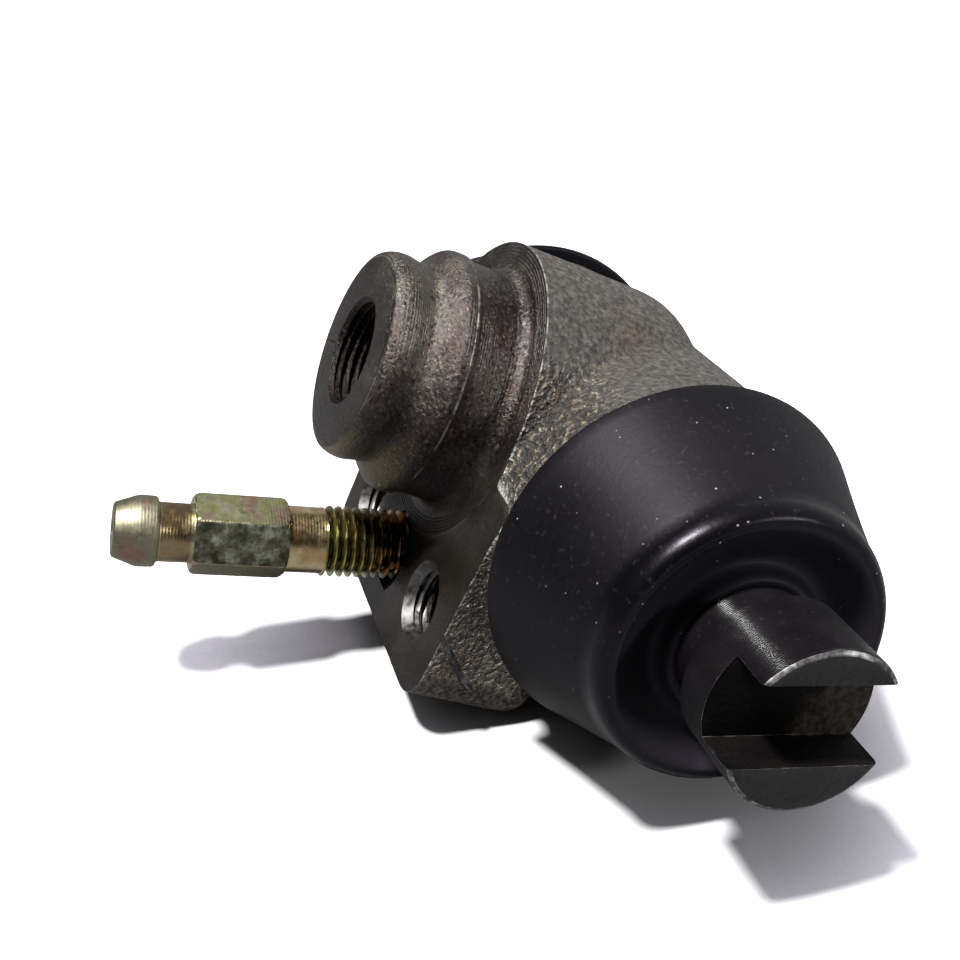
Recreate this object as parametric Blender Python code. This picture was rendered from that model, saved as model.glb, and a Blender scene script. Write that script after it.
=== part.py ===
# Double-ended drum-brake wheel cylinder.
# A grey-iron casting carries a bore through both ends. A stepped inlet boss stands on a faced
# mounting pad and passes through the backplate, with a drilled and tapped lug below it for two
# bolts and a bleed screw. Each end holds a spring-loaded cup and piston, a slotted tappet that
# turns in the piston, and a rubber boot.
#
# Frame: metres, +Z up. The origin is on the faced pad that bolts to the backplate, midway
# between the bolt holes and just below them. +X runs along the bore, and the inlet boss points
# to -Y. Positions below are written from the middle of the bore, which is the pieces' parent.

import math

import bmesh
import bpy
from mathutils import Matrix, Vector

for old in list(bpy.data.objects):
    bpy.data.objects.remove(old, do_unlink=True)

# Gaps between neighbours
SEAT_GAP = 0.0003         # pieces that only rest on each other
RUN_CLEARANCE = 0.00006   # radial, for what turns or slides in a bore
CUT_OVER = 0.001          # how far a drill or tool starts outside the metal

# Facets round each turned piece
SIDES_BODY = 48
SIDES_LARGE = 40
SIDES_SMALL = 24
SIDES_HOLE = 20

# Barrel
BORE_R = 0.0127           # 25.4 mm bore
BORE_CHAMFER = 0.0009
BARREL_R = 0.01823
BARREL_DRAFT = 0.00015    # taper of the cast skin towards each end
BARREL_HALF = 0.0237      # bore centre to the shoulder behind a boot
GROOVE_R = 0.0146         # groove that a boot's bead snaps into
GROOVE_W = 0.0029
RIB_R = 0.0159            # rib that keeps the bead in its groove
RIB_W = 0.0026
RIB_LEAD = 0.0008

# Mounting pad and inlet boss, turned about an axis parallel to Y
PAD_DEPTH = 0.01827       # bore centre to the faced pad
PAD_R = 0.01675
PAD_LENGTH = 0.0238       # pad face to the back of the pad's cast block
PAD_ROUND = 0.0085
MOUNT_DROP = 0.0224       # bore's centre line down to the frame's origin, on the pad's face
BOSS_Z = 0.00413          # the boss sits above the bore's centre line
BOSS_H = 0.01377
BOSS_TIP_R = 0.01025
BOSS_TIP_ROUND = 0.00217
BOSS_LAND_R = 0.0113
BOSS_VALLEY_R = 0.01102
BOSS_VALLEY_H = 0.0096
RING_R = 0.0134
RING_FRONT_H = 0.0066
RING_BACK_H = 0.0055
SPIGOT_R = 0.0130
SPIGOT_FILLET = 0.0015
FACING_STOCK = 0.0008     # metal that facing takes off the pad and the lug
PAD_GROOVE_R = 0.0155     # shallow turned groove round the spigot's foot
PAD_GROOVE_W = 0.0005
PAD_GROOVE_D = 0.00025

# Inlet port in the boss
PORT_R = 0.00546
PORT_CHAMFER = 0.00045
PORT_DEPTH = 0.0115
PORT_POINT = 0.0022
FEED_R = 0.0013

# Lug below the pad
LUG_HALF = 0.0214         # half width at the bore's centre line
LUG_FOOT_HALF = 0.0202    # half width at the foot, narrower by the casting's draft
LUG_DROP = 0.0244
LUG_TOP = 0.0004          # the lug's top edge, just below the bore's centre line
LUG_THICK = 0.0140
LUG_CORNER = 0.0038
LUG_BACK_ROUND = 0.0030

# Two tapped bolt holes in the lug
BOLT_X = 0.01225
BOLT_Z = -0.01625
BOLT_R = 0.0034
BOLT_CHAMFER = 0.00097
BOLT_DEPTH = 0.0105
BOLT_POINT = 0.0018

# Bleed screw and its hole
BLEED_Z = -0.01622        # where its axis crosses the pad's face
BLEED_TILT = math.radians(12.3)
BLEED_THREAD_R = 0.0039
BLEED_THREAD_IN = 0.0066
BLEED_CONE_TIP_R = 0.0021
BLEED_CHAMFER = 0.0006
BLEED_FEED_R = 0.0012
BLEED_FEED_DEPTH = 0.0178
THREAD_OUT = 0.00852
SHANK_R = 0.00375
HEX_FROM = 0.01284
HEX_LENGTH = 0.01016
HEX_FLATS = 0.0080
HEX_PHASE = math.radians(45.0)
HEX_EDGE = 0.0006         # turned chamfer on the hexagon's corners
NECK_R = 0.00325
NECK_LENGTH = 0.0036
BARB_R = 0.003875
BARB_LENGTH = 0.00205
NOZZLE_LENGTH = 0.00257
NOZZLE_R = 0.00297
BLEED_BORE_R = 0.0010
BLEED_CROSS_R = 0.0008
BLEED_CROSS_AT = 0.0040   # cross drilling, inward from the pad's face

# Piston, cup, cup expander and return spring
PISTON_SETBACK = 0.0104   # from the barrel's shoulder in to the piston's pressure side
PISTON_LENGTH = 0.0137
PISTON_CHAMFER = 0.0006
SOCKET_FLOOR = 0.0040
CUP_BASE = 0.0020
CUP_LENGTH = 0.0047
CUP_BASE_SLACK = 0.0003
CUP_LIP_T = 0.0014
CUP_LIP_END = 0.0006
EXPANDER_T = 0.0008
EXPANDER_R = 0.0092
EXPANDER_HUB_R = 0.0054
EXPANDER_HUB_H = 0.0019
EXPANDER_WALL = 0.0009
SPRING_R = 0.0070
SPRING_WIRE_R = 0.00055
SPRING_TURNS = 4
SPRING_DEAD_PITCH = 0.0013

# Tappet
TAPPET_R = 0.00804
TAPPET_HEAD_L = 0.00862
TAPPET_STEM_R = 0.0066
TAPPET_IN_TRAVEL = 0.0020 # how far the tappet may be pushed in from rest
TAPPET_STOP_GAP = 0.0015  # left between its head and the boot's lip when it is
TAPPET_END_R = 0.00738
TAPPET_END_L = 0.0009
HEAD_EDGE = 0.0003
SLOT_WIDTH = 0.00803
SLOT_DEPTH = 0.00431
SLOT_OFFSET = 0.00075
SLOT_TURN = math.radians(13.75)

# Boot
BOOT_RIM_R = 0.01958
BOOT_RIM_ROUND = 0.0006
BOOT_CONE_L = 0.0138
BOOT_NECK_R = 0.0145
BOOT_SHOULDER_L = 0.0020
BOOT_CREST_R = 0.0133
BOOT_CREST_W = 0.0007     # from the crest to the start of the hollow front
BOOT_DISH_DEPTH = 0.0036
BOOT_DISH_R = 0.0106
BOOT_WALL = 0.0017
BOOT_BEAD_W = 0.0023
BOOT_LIP_H = 0.0029
BOOT_LIP_W = 0.0010


def material(name, colour, roughness, metallic):
    mat = bpy.data.materials.new(name)
    mat.use_nodes = True
    shader = mat.node_tree.nodes["Principled BSDF"]
    shader.inputs["Base Color"].default_value = (*colour, 1.0)
    shader.inputs["Roughness"].default_value = roughness
    shader.inputs["Metallic"].default_value = metallic
    return mat


def empty(name, matrix, parent=None):
    ob = bpy.data.objects.new(name, None)
    ob.empty_display_size = 0.005
    bpy.context.scene.collection.objects.link(ob)
    ob.parent = parent
    ob.matrix_basis = matrix
    return ob


bore_centre = empty("bore_centre", Matrix.Translation((0, PAD_DEPTH, MOUNT_DROP)))


def add_object(name, mesh, parent=None, matrix=None, mat=None):
    if mat is not None and not mesh.materials:
        mesh.materials.append(mat)
    ob = bpy.data.objects.new(name, mesh)
    bpy.context.scene.collection.objects.link(ob)
    ob.parent = parent or bore_centre
    if matrix is not None:
        ob.matrix_basis = matrix
    return ob


def finish(bm, name, sharp=35.0):
    bmesh.ops.remove_doubles(bm, verts=bm.verts, dist=1e-7)
    bmesh.ops.recalc_face_normals(bm, faces=bm.faces)
    mesh = bpy.data.meshes.new(name)
    bm.to_mesh(mesh)
    bm.free()
    mesh.shade_smooth()
    mesh.set_sharp_from_angle(angle=math.radians(sharp))
    return mesh


def turned(name, profile, sides):
    """Spin a profile of (distance along Z, radius) points once round Z.

    A profile that starts and ends on the axis makes a solid; any other is closed into a ring."""
    bm = bmesh.new()
    verts = [bm.verts.new((r, 0.0, h)) for h, r in profile]
    edges = [bm.edges.new((a, b)) for a, b in zip(verts, verts[1:])]
    if profile[0][1] > 0.0:
        edges.append(bm.edges.new((verts[-1], verts[0])))
    bmesh.ops.spin(
        bm, geom=verts + edges, cent=(0, 0, 0), axis=(0, 0, 1),
        dvec=(0, 0, 0), angle=math.tau, steps=sides, use_merge=True)
    return finish(bm, name)


def arc(centre, radius, start, end, steps):
    """Points (distance, radius) on an arc, angles in degrees from the distance axis."""
    a0, a1 = math.radians(start), math.radians(end)
    angles = [a0 + (a1 - a0) * i / steps for i in range(steps + 1)]
    return [(centre[0] + radius * math.cos(a), centre[1] + radius * math.sin(a)) for a in angles]


def ease(h0, r0, h1, r1, steps):
    """Points on an S-shaped flank between two diameters, level at both ends."""
    return [
        (h0 + (h1 - h0) * i / steps, r0 + (r1 - r0) * (1 - math.cos(math.pi * i / steps)) / 2)
        for i in range(steps + 1)]


def boolean(target, tool, operation):
    tool.hide_render = True
    tool.display_type = 'WIRE'
    mod = target.modifiers.new(tool.name, 'BOOLEAN')
    mod.operation = operation
    mod.solver = 'EXACT'
    mod.object = tool


# Materials
cast_iron = material("cast_iron", (0.060, 0.052, 0.046), 0.62, 0.75)
plated_steel = material("zinc_plated_steel", (0.55, 0.42, 0.16), 0.34, 1.0)
boot_rubber = material("boot_rubber", (0.012, 0.012, 0.013), 0.55, 0.0)
cup_rubber = material("cup_rubber", (0.020, 0.020, 0.022), 0.50, 0.0)
tappet_steel = material("tappet_steel", (0.20, 0.19, 0.19), 0.38, 1.0)
piston_steel = material("piston_alloy", (0.60, 0.61, 0.62), 0.32, 1.0)
spring_steel = material("spring_steel", (0.38, 0.37, 0.36), 0.35, 1.0)

# Axes: each turned form is spun about its own local Z
ALONG_BORE = Matrix.Rotation(math.radians(90), 4, 'Y')
OUT_OF_PAD = Matrix.Rotation(math.radians(90), 4, 'X')
TO_BLEED = Matrix.Rotation(math.radians(90) + BLEED_TILT, 4, 'X')

NOSE_END = BARREL_HALF + GROOVE_W + RIB_W
boss_axis = empty(
    "boss_axis", Matrix.Translation((0, -PAD_DEPTH, BOSS_Z)) @ OUT_OF_PAD, bore_centre)
bleed_axis = empty(
    "bleed_axis", Matrix.Translation((0, -PAD_DEPTH, BLEED_Z)) @ TO_BLEED, bore_centre)


# Cylinder body: one casting, then faced, bored and drilled as the real one is
half = [
    (0.0, BARREL_R),
    (BARREL_HALF, BARREL_R - BARREL_DRAFT),
    (BARREL_HALF, GROOVE_R),
    (BARREL_HALF + GROOVE_W, GROOVE_R),
    (BARREL_HALF + GROOVE_W, RIB_R),
    (NOSE_END - RIB_LEAD, RIB_R),
    (NOSE_END, RIB_R - RIB_LEAD),
    (NOSE_END, 0.0),
]
barrel_profile = [(-x, r) for x, r in reversed(half)] + half[1:]
cylinder_body = add_object(
    "cylinder_body", turned("cylinder_body", barrel_profile, SIDES_BODY),
    matrix=ALONG_BORE, mat=cast_iron)

# Raw block behind and round the boss, its back edge rounded onto the barrel
pad_profile = [(BOSS_H + FACING_STOCK, 0.0), (BOSS_H + FACING_STOCK, PAD_R)]
pad_profile += arc((-PAD_LENGTH + PAD_ROUND, PAD_R - PAD_ROUND), PAD_ROUND, 90, 180, 5)
pad_profile += [(-PAD_LENGTH, 0.0)]
pad_block = add_object(
    "raw_pad", turned("raw_pad", pad_profile, SIDES_BODY), parent=boss_axis)
boolean(cylinder_body, pad_block, 'UNION')


def lug_mesh():
    bm = bmesh.new()
    bmesh.ops.create_cube(bm, size=1.0)
    y0, y1 = -PAD_DEPTH - FACING_STOCK, -PAD_DEPTH + LUG_THICK
    z0, z1 = -LUG_DROP, -LUG_TOP
    scale = Matrix.Diagonal((2 * LUG_HALF, y1 - y0, z1 - z0, 1.0))
    bmesh.ops.transform(
        bm, matrix=Matrix.Translation((0, (y0 + y1) / 2, (z0 + z1) / 2)) @ scale, verts=bm.verts)

    def on(edge, axis, value):
        return all(abs(abs(v.co[axis]) - abs(value)) < 1e-6 for v in edge.verts)

    for v in bm.verts:
        if v.co.z < (z0 + z1) / 2:
            v.co.x = math.copysign(LUG_FOOT_HALF, v.co.x)
    corners = [
        e for e in bm.edges
        if on(e, 2, z0) and e.verts[0].co.x == e.verts[1].co.x]
    bmesh.ops.bevel(
        bm, geom=corners, offset=LUG_CORNER, offset_type='OFFSET', segments=4, profile=0.5,
        affect='EDGES', clamp_overlap=False)
    back = [e for e in bm.edges if on(e, 1, y1) and not on(e, 2, z1)]
    bmesh.ops.bevel(
        bm, geom=back, offset=LUG_BACK_ROUND, offset_type='OFFSET', segments=4, profile=0.5,
        affect='EDGES', clamp_overlap=False)
    return finish(bm, "raw_lug")


boolean(cylinder_body, add_object("raw_lug", lug_mesh()), 'UNION')

# Facing tool: everything in front of the pad and round the boss's turned outline
TOOL_R = LUG_HALF + LUG_DROP
boss_profile = [(BOSS_H, 0.0), (BOSS_H, BOSS_TIP_R)]
boss_profile += [
    (BOSS_H - BOSS_TIP_ROUND * (1 - math.cos(math.radians(a))),
     BOSS_TIP_R + (BOSS_LAND_R - BOSS_TIP_R) * math.sin(math.radians(a)))
    for a in (30, 60, 90)]
boss_profile += ease(
    BOSS_H - BOSS_TIP_ROUND - CUT_OVER / 2, BOSS_LAND_R, BOSS_VALLEY_H, BOSS_VALLEY_R, 2)
boss_profile += ease(BOSS_VALLEY_H, BOSS_VALLEY_R, RING_FRONT_H, RING_R, 6)[1:]
boss_profile += [(RING_BACK_H, RING_R), (RING_BACK_H, SPIGOT_R)]
boss_profile += arc((SPIGOT_FILLET, SPIGOT_R + SPIGOT_FILLET), SPIGOT_FILLET, 270, 180, 4)
boss_profile += [
    (0.0, PAD_GROOVE_R - PAD_GROOVE_W / 2),
    (-PAD_GROOVE_D, PAD_GROOVE_R),
    (0.0, PAD_GROOVE_R + PAD_GROOVE_W / 2),
    (0.0, TOOL_R),
    (BOSS_H + FACING_STOCK + CUT_OVER, TOOL_R),
    (BOSS_H + FACING_STOCK + CUT_OVER, 0.0),
]
facing = add_object(
    "cut_facing", turned("cut_facing", boss_profile, SIDES_BODY), parent=boss_axis)
boolean(cylinder_body, facing, 'DIFFERENCE')

# Bore, with a chamfer at each mouth
mouth = BORE_CHAMFER + CUT_OVER
bore_half = [
    (0.0, BORE_R), (NOSE_END - BORE_CHAMFER, BORE_R),
    (NOSE_END + CUT_OVER, BORE_R + mouth), (NOSE_END + CUT_OVER, 0.0)]
bore_profile = [(-x, r) for x, r in reversed(bore_half)] + bore_half[1:]
boolean(cylinder_body, add_object(
    "cut_bore", turned("cut_bore", bore_profile, SIDES_LARGE), matrix=ALONG_BORE), 'DIFFERENCE')

# Inlet: tapped port, drill point, then a feed hole into the bore
port_floor = BOSS_H - PORT_DEPTH
port_profile = [
    (BOSS_H + CUT_OVER, 0.0),
    (BOSS_H + CUT_OVER, PORT_R + PORT_CHAMFER + CUT_OVER),
    (BOSS_H - PORT_CHAMFER, PORT_R),
    (port_floor, PORT_R),
    (port_floor - PORT_POINT, FEED_R),
    (BORE_R / 2 - PAD_DEPTH, FEED_R),
    (BORE_R / 2 - PAD_DEPTH, 0.0),
]
boolean(cylinder_body, add_object(
    "cut_inlet", turned("cut_inlet", port_profile, SIDES_HOLE), parent=boss_axis), 'DIFFERENCE')

# Bolt holes
bolt_profile = [
    (CUT_OVER, 0.0),
    (CUT_OVER, BOLT_R + BOLT_CHAMFER + CUT_OVER),
    (-BOLT_CHAMFER, BOLT_R),
    (-BOLT_DEPTH, BOLT_R),
    (-BOLT_DEPTH - BOLT_POINT, 0.0),
]
for label, side in (("a", 1), ("b", -1)):
    place = Matrix.Translation((side * BOLT_X, -PAD_DEPTH, BOLT_Z)) @ OUT_OF_PAD
    boolean(cylinder_body, add_object(
        "cut_bolt_" + label, turned("cut_bolt_" + label, bolt_profile, SIDES_HOLE),
        matrix=place), 'DIFFERENCE')

# Bleed hole: clearance over the screw's thread, a conical seat, a feed hole into the bore
bleed_hole_r = (BLEED_THREAD_R + RUN_CLEARANCE) / math.cos(math.pi / SIDES_HOLE)
seat_length = BLEED_THREAD_R - BLEED_CONE_TIP_R
hole_cone = bleed_hole_r - BLEED_FEED_R
bleed_hole_profile = [
    (CUT_OVER, 0.0),
    (CUT_OVER, bleed_hole_r + BLEED_CHAMFER + CUT_OVER),
    (-BLEED_CHAMFER, bleed_hole_r),
    (-BLEED_THREAD_IN - SEAT_GAP, bleed_hole_r),
    (-BLEED_THREAD_IN - SEAT_GAP - hole_cone, BLEED_FEED_R),
    (-BLEED_FEED_DEPTH, BLEED_FEED_R),
    (-BLEED_FEED_DEPTH, 0.0),
]
boolean(cylinder_body, add_object(
    "cut_bleed", turned("cut_bleed", bleed_hole_profile, SIDES_HOLE), parent=bleed_axis),
    'DIFFERENCE')


# Bleed screw, lofted from rings so that the hexagon and the turned ends are one piece
def ring_points(h, radius, flats=None):
    points = []
    for i in range(SIDES_SMALL):
        a = math.tau * i / SIDES_SMALL
        r = radius
        if flats is not None:
            off = (a + math.pi / 6) % (math.pi / 3) - math.pi / 6
            r = min(radius, flats / 2 / math.cos(math.pi / 6 - abs(off)))
        points.append(Vector((r * math.cos(a), r * math.sin(a), h)))
    return points


def bleed_screw_mesh():
    corner_r = HEX_FLATS / 2 / math.cos(math.pi / 6)
    hex_end = HEX_FROM + HEX_LENGTH
    neck_end = hex_end + NECK_LENGTH
    barb_end = neck_end + BARB_LENGTH
    tip = barb_end + NOZZLE_LENGTH
    washer_r = corner_r - HEX_EDGE
    inner = -BLEED_THREAD_IN - seat_length
    bore_end = -BLEED_CROSS_AT - 2 * BLEED_BORE_R
    rings = [
        ring_points(bore_end, BLEED_BORE_R),
        ring_points(tip, BLEED_BORE_R),
        ring_points(tip, NOZZLE_R),
        ring_points(barb_end, BARB_R),
        ring_points(neck_end + (BARB_R - NECK_R) / 2, BARB_R - (BARB_R - NECK_R) / 4),
        ring_points(neck_end, NECK_R),
        ring_points(hex_end, NECK_R),
        ring_points(hex_end, washer_r, HEX_FLATS),
        ring_points(hex_end - HEX_EDGE / 2, corner_r, HEX_FLATS),
        ring_points(HEX_FROM + HEX_EDGE / 2, corner_r, HEX_FLATS),
        ring_points(HEX_FROM, washer_r, HEX_FLATS),
        ring_points(HEX_FROM, SHANK_R),
        ring_points(THREAD_OUT, SHANK_R),
        ring_points(THREAD_OUT, BLEED_THREAD_R),
        ring_points(-BLEED_THREAD_IN, BLEED_THREAD_R),
        ring_points(inner, BLEED_CONE_TIP_R),
    ]
    bm = bmesh.new()
    loops = [[bm.verts.new(p) for p in ring] for ring in rings]
    for low, high in zip(loops, loops[1:]):
        for i in range(SIDES_SMALL):
            j = (i + 1) % SIDES_SMALL
            bm.faces.new((low[i], low[j], high[j], high[i]))
    bm.faces.new(loops[0])
    bm.faces.new(loops[-1])
    return finish(bm, "bleed_screw", 25.0)


bleed_screw = add_object(
    "bleed_screw", bleed_screw_mesh(), parent=bleed_axis,
    matrix=Matrix.Rotation(HEX_PHASE, 4, 'Z'), mat=plated_steel)
cross = BLEED_THREAD_R + CUT_OVER
cross_profile = [(-cross, 0.0), (-cross, BLEED_CROSS_R), (cross, BLEED_CROSS_R), (cross, 0.0)]
cross_place = Matrix.Translation((0, 0, -BLEED_CROSS_AT)) @ ALONG_BORE
boolean(bleed_screw, add_object(
    "cut_cross", turned("cut_cross", cross_profile, 12), parent=bleed_axis,
    matrix=cross_place), 'DIFFERENCE')


# The working parts repeat at both ends; shapes are drawn once, outward along local Z
piston_start = BARREL_HALF - PISTON_SETBACK
socket_r = (TAPPET_STEM_R + RUN_CLEARANCE) / math.cos(math.pi / SIDES_LARGE)
piston_r = BORE_R * math.cos(math.pi / SIDES_LARGE) - RUN_CLEARANCE
piston_profile = [
    (0.0, 0.0),
    (0.0, piston_r - PISTON_CHAMFER),
    (PISTON_CHAMFER, piston_r),
    (PISTON_LENGTH - PISTON_CHAMFER, piston_r),
    (PISTON_LENGTH, piston_r - PISTON_CHAMFER),
    (PISTON_LENGTH, socket_r + PISTON_CHAMFER),
    (PISTON_LENGTH - PISTON_CHAMFER, socket_r),
    (SOCKET_FLOOR, socket_r),
    (SOCKET_FLOOR, 0.0),
]
piston_mesh = turned("piston", piston_profile, SIDES_LARGE)

# Cup: a flat back against the piston and a lip that opens towards the pressure
cup_r = piston_r - CUP_BASE_SLACK
cup_profile = [
    (-SEAT_GAP, 0.0),
    (-SEAT_GAP, cup_r),
    (-SEAT_GAP - CUP_BASE, cup_r),
    (-SEAT_GAP - CUP_LENGTH, piston_r),
    (-SEAT_GAP - CUP_LENGTH, piston_r - CUP_LIP_END),
    (-SEAT_GAP - CUP_BASE - CUP_LIP_END, cup_r - CUP_LIP_T),
    (-SEAT_GAP - CUP_BASE, cup_r - CUP_LIP_T - CUP_LIP_END),
    (-SEAT_GAP - CUP_BASE, 0.0),
]
cup_mesh = turned("seal_cup", cup_profile, SIDES_LARGE)

# Cup expander: a pressed steel plate with a hub that centres the spring
plate_back = -2 * SEAT_GAP - CUP_BASE
plate_front = plate_back - EXPANDER_T
expander_profile = [
    (plate_back, EXPANDER_HUB_R - EXPANDER_WALL),
    (plate_back, EXPANDER_R),
    (plate_front, EXPANDER_R),
    (plate_front, EXPANDER_HUB_R),
    (plate_front - EXPANDER_HUB_H, EXPANDER_HUB_R),
    (plate_front - EXPANDER_HUB_H, EXPANDER_HUB_R - EXPANDER_WALL),
]
expander_mesh = turned("cup_expander", expander_profile, SIDES_SMALL)

# Boot's places along the bore, from its own rim; its lip stands in front of the hollow's floor
crest_z = BOOT_CONE_L + BOOT_SHOULDER_L
dish_z = crest_z - BOOT_DISH_DEPTH
lip_z = dish_z + BOOT_LIP_H
boot_start = BARREL_HALF + SEAT_GAP

# Tappet: a round stem and a larger head, worn at the end, with a slot milled across off centre.
# The head stands clear of the boot's lip by the tappet's inward travel.
tappet_start = piston_start + SOCKET_FLOOR + SEAT_GAP
head_back = boot_start + lip_z + TAPPET_IN_TRAVEL + TAPPET_STOP_GAP - tappet_start
tappet_length = head_back + TAPPET_HEAD_L
tappet_profile = [
    (0.0, 0.0),
    (0.0, TAPPET_STEM_R - PISTON_CHAMFER),
    (PISTON_CHAMFER, TAPPET_STEM_R),
    (head_back, TAPPET_STEM_R),
    (head_back, TAPPET_R - HEAD_EDGE),
    (head_back + HEAD_EDGE, TAPPET_R),
    (tappet_length - TAPPET_END_L, TAPPET_R),
    (tappet_length - TAPPET_END_L / 3, (TAPPET_R + 2 * TAPPET_END_R) / 3 + TAPPET_END_L / 6),
    (tappet_length, TAPPET_END_R),
    (tappet_length, 0.0),
]
tappet_mesh = turned("tappet", tappet_profile, SIDES_LARGE)
slot_mesh = bpy.data.meshes.new("cut_slot")
slot = bmesh.new()
bmesh.ops.create_cube(slot, size=1.0)
bmesh.ops.transform(
    slot, verts=slot.verts,
    matrix=Matrix.Translation((-SLOT_OFFSET, 0, tappet_length))
    @ Matrix.Diagonal((SLOT_WIDTH, 4 * TAPPET_R, 2 * SLOT_DEPTH, 1.0)))
slot.to_mesh(slot_mesh)
slot.free()

# Boot: a bead in the barrel's groove, a tapering skirt, a rolled crest, then a hollow front
# that folds in to a lip round the tappet's stem
bead_r = GROOVE_R + SEAT_GAP
rib_clear_r = RIB_R + SEAT_GAP
rib_clear_z = GROOVE_W + RIB_W
lip_bore_r = TAPPET_STEM_R + SEAT_GAP
lip_r = lip_bore_r + BOOT_LIP_W
dish_edge_r = BOOT_CREST_R - BOOT_CREST_W
boot_profile = [
    (0.0, bead_r),
    (0.0, BOOT_RIM_R - BOOT_RIM_ROUND),
    (BOOT_RIM_ROUND / 3, BOOT_RIM_R - BOOT_RIM_ROUND / 3),
    (BOOT_RIM_ROUND, BOOT_RIM_R),
]
boot_profile += [
    (BOOT_CONE_L + BOOT_SHOULDER_L * math.sin(math.radians(a)),
     BOOT_CREST_R + (BOOT_NECK_R - BOOT_CREST_R) * math.cos(math.radians(a)))
    for a in (0, 22, 45, 68, 90)]
boot_profile += [
    (crest_z - BOOT_CREST_W / 2, dish_edge_r),
    (dish_z + BOOT_CREST_W, BOOT_DISH_R + BOOT_CREST_W),
    (dish_z, BOOT_DISH_R - BOOT_CREST_W),
    (dish_z, lip_r + BOOT_LIP_W / 2),
    (lip_z - BOOT_LIP_W / 3, lip_r),
    (lip_z, lip_r - BOOT_LIP_W / 3),
    (lip_z, lip_bore_r),
    (dish_z - BOOT_WALL, lip_bore_r),
    (dish_z - BOOT_WALL, BOOT_DISH_R),
    (dish_z, BOOT_NECK_R - BOOT_WALL),
    (rib_clear_z + BOOT_WALL, rib_clear_r - BOOT_WALL * 0.4),
    (rib_clear_z, rib_clear_r),
    (BOOT_BEAD_W, rib_clear_r),
    (BOOT_BEAD_W, bead_r),
]
boot_mesh = turned("boot", boot_profile, SIDES_LARGE)

for label, side in (("a", 1), ("b", -1)):
    outward = Matrix.Rotation(math.radians(90 * side), 4, 'Y')
    end = empty("end_" + label, outward, bore_centre)
    slide = empty(
        "slide_" + label, Matrix.Translation((0, 0, piston_start)), parent=end)
    add_object("boot_" + label, boot_mesh, parent=end,
               matrix=Matrix.Translation((0, 0, boot_start)), mat=boot_rubber)
    add_object("piston_" + label, piston_mesh, parent=slide, mat=piston_steel)
    add_object("seal_cup_" + label, cup_mesh, parent=slide, mat=cup_rubber)
    add_object("cup_expander_" + label, expander_mesh, parent=slide, mat=spring_steel)
    turn = Matrix.Translation((0, 0, SOCKET_FLOOR + SEAT_GAP)) @ Matrix.Rotation(
        side * SLOT_TURN, 4, 'Z')
    tappet = add_object("tappet_" + label, tappet_mesh.copy(), parent=slide, matrix=turn,
                        mat=tappet_steel)
    boolean(tappet, add_object("cut_slot_" + label, slot_mesh, parent=slide, matrix=turn),
            'DIFFERENCE')


# Return spring: a poly curve along the coil, closed turns at both ends
def spring_curve():
    span = piston_start + plate_front - SEAT_GAP - SPRING_WIRE_R
    turns = SPRING_TURNS + 2
    live_pitch = 2 * (span - SPRING_DEAD_PITCH) / SPRING_TURNS
    steps = 12
    points, x = [], -span
    for i in range(turns * steps + 1):
        a = math.tau * i / steps
        points.append((x, SPRING_R * math.cos(a), SPRING_R * math.sin(a)))
        dead = i < steps or i >= (turns - 1) * steps
        x += (SPRING_DEAD_PITCH if dead else live_pitch) / steps
    curve = bpy.data.curves.new("return_spring", 'CURVE')
    curve.dimensions = '3D'
    curve.bevel_depth = SPRING_WIRE_R
    curve.bevel_resolution = 1
    curve.use_fill_caps = True
    spline = curve.splines.new('POLY')
    spline.points.add(len(points) - 1)
    for point, co in zip(spline.points, points):
        point.co = (*co, 1.0)
    curve.materials.append(spring_steel)
    return curve


spring = bpy.data.objects.new("return_spring", spring_curve())
bpy.context.scene.collection.objects.link(spring)
spring.parent = bore_centre
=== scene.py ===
import math

import bmesh
import bpy
from mathutils import Matrix, Vector


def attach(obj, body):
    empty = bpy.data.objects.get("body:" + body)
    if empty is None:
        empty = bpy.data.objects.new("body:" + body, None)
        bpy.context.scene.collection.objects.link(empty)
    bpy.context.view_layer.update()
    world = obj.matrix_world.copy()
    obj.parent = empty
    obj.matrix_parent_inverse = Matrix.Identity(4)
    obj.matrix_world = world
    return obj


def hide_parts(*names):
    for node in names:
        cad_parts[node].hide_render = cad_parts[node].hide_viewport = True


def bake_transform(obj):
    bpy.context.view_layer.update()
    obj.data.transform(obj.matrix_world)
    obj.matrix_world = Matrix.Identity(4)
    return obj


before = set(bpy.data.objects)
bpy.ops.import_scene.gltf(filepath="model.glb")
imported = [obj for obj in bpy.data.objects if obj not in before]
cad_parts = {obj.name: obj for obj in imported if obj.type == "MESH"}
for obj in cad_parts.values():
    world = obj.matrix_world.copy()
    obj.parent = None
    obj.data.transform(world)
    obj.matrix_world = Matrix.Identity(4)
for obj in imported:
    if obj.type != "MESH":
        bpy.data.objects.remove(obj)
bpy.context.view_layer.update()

MM = 0.001

# The middle of the bore, from the frame's origin on the mounting pad. Sizes and places below are
# written from the middle of the bore.
CENTRE = Vector((0.0, 18.27, 22.4)) * MM

# Camera and table. The cylinder lies on its back on the table, so the table's upward direction
# leans away from +Z.
CAM_POS = CENTRE + Vector((117.05, -69.42, 36.17)) * MM
CAM_DIR = Vector((-0.85655, 0.41557, -0.30597)).normalized()
TABLE_UP = Vector((0.0, -0.421, 0.907)).normalized()
TABLE_DEPTH = 19.6 * MM
KEY_DIR = Vector((0.12, -0.70, 0.70)).normalized()
FILL_DIR = Vector((0.71, 0.40, 0.57)).normalized()

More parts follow.
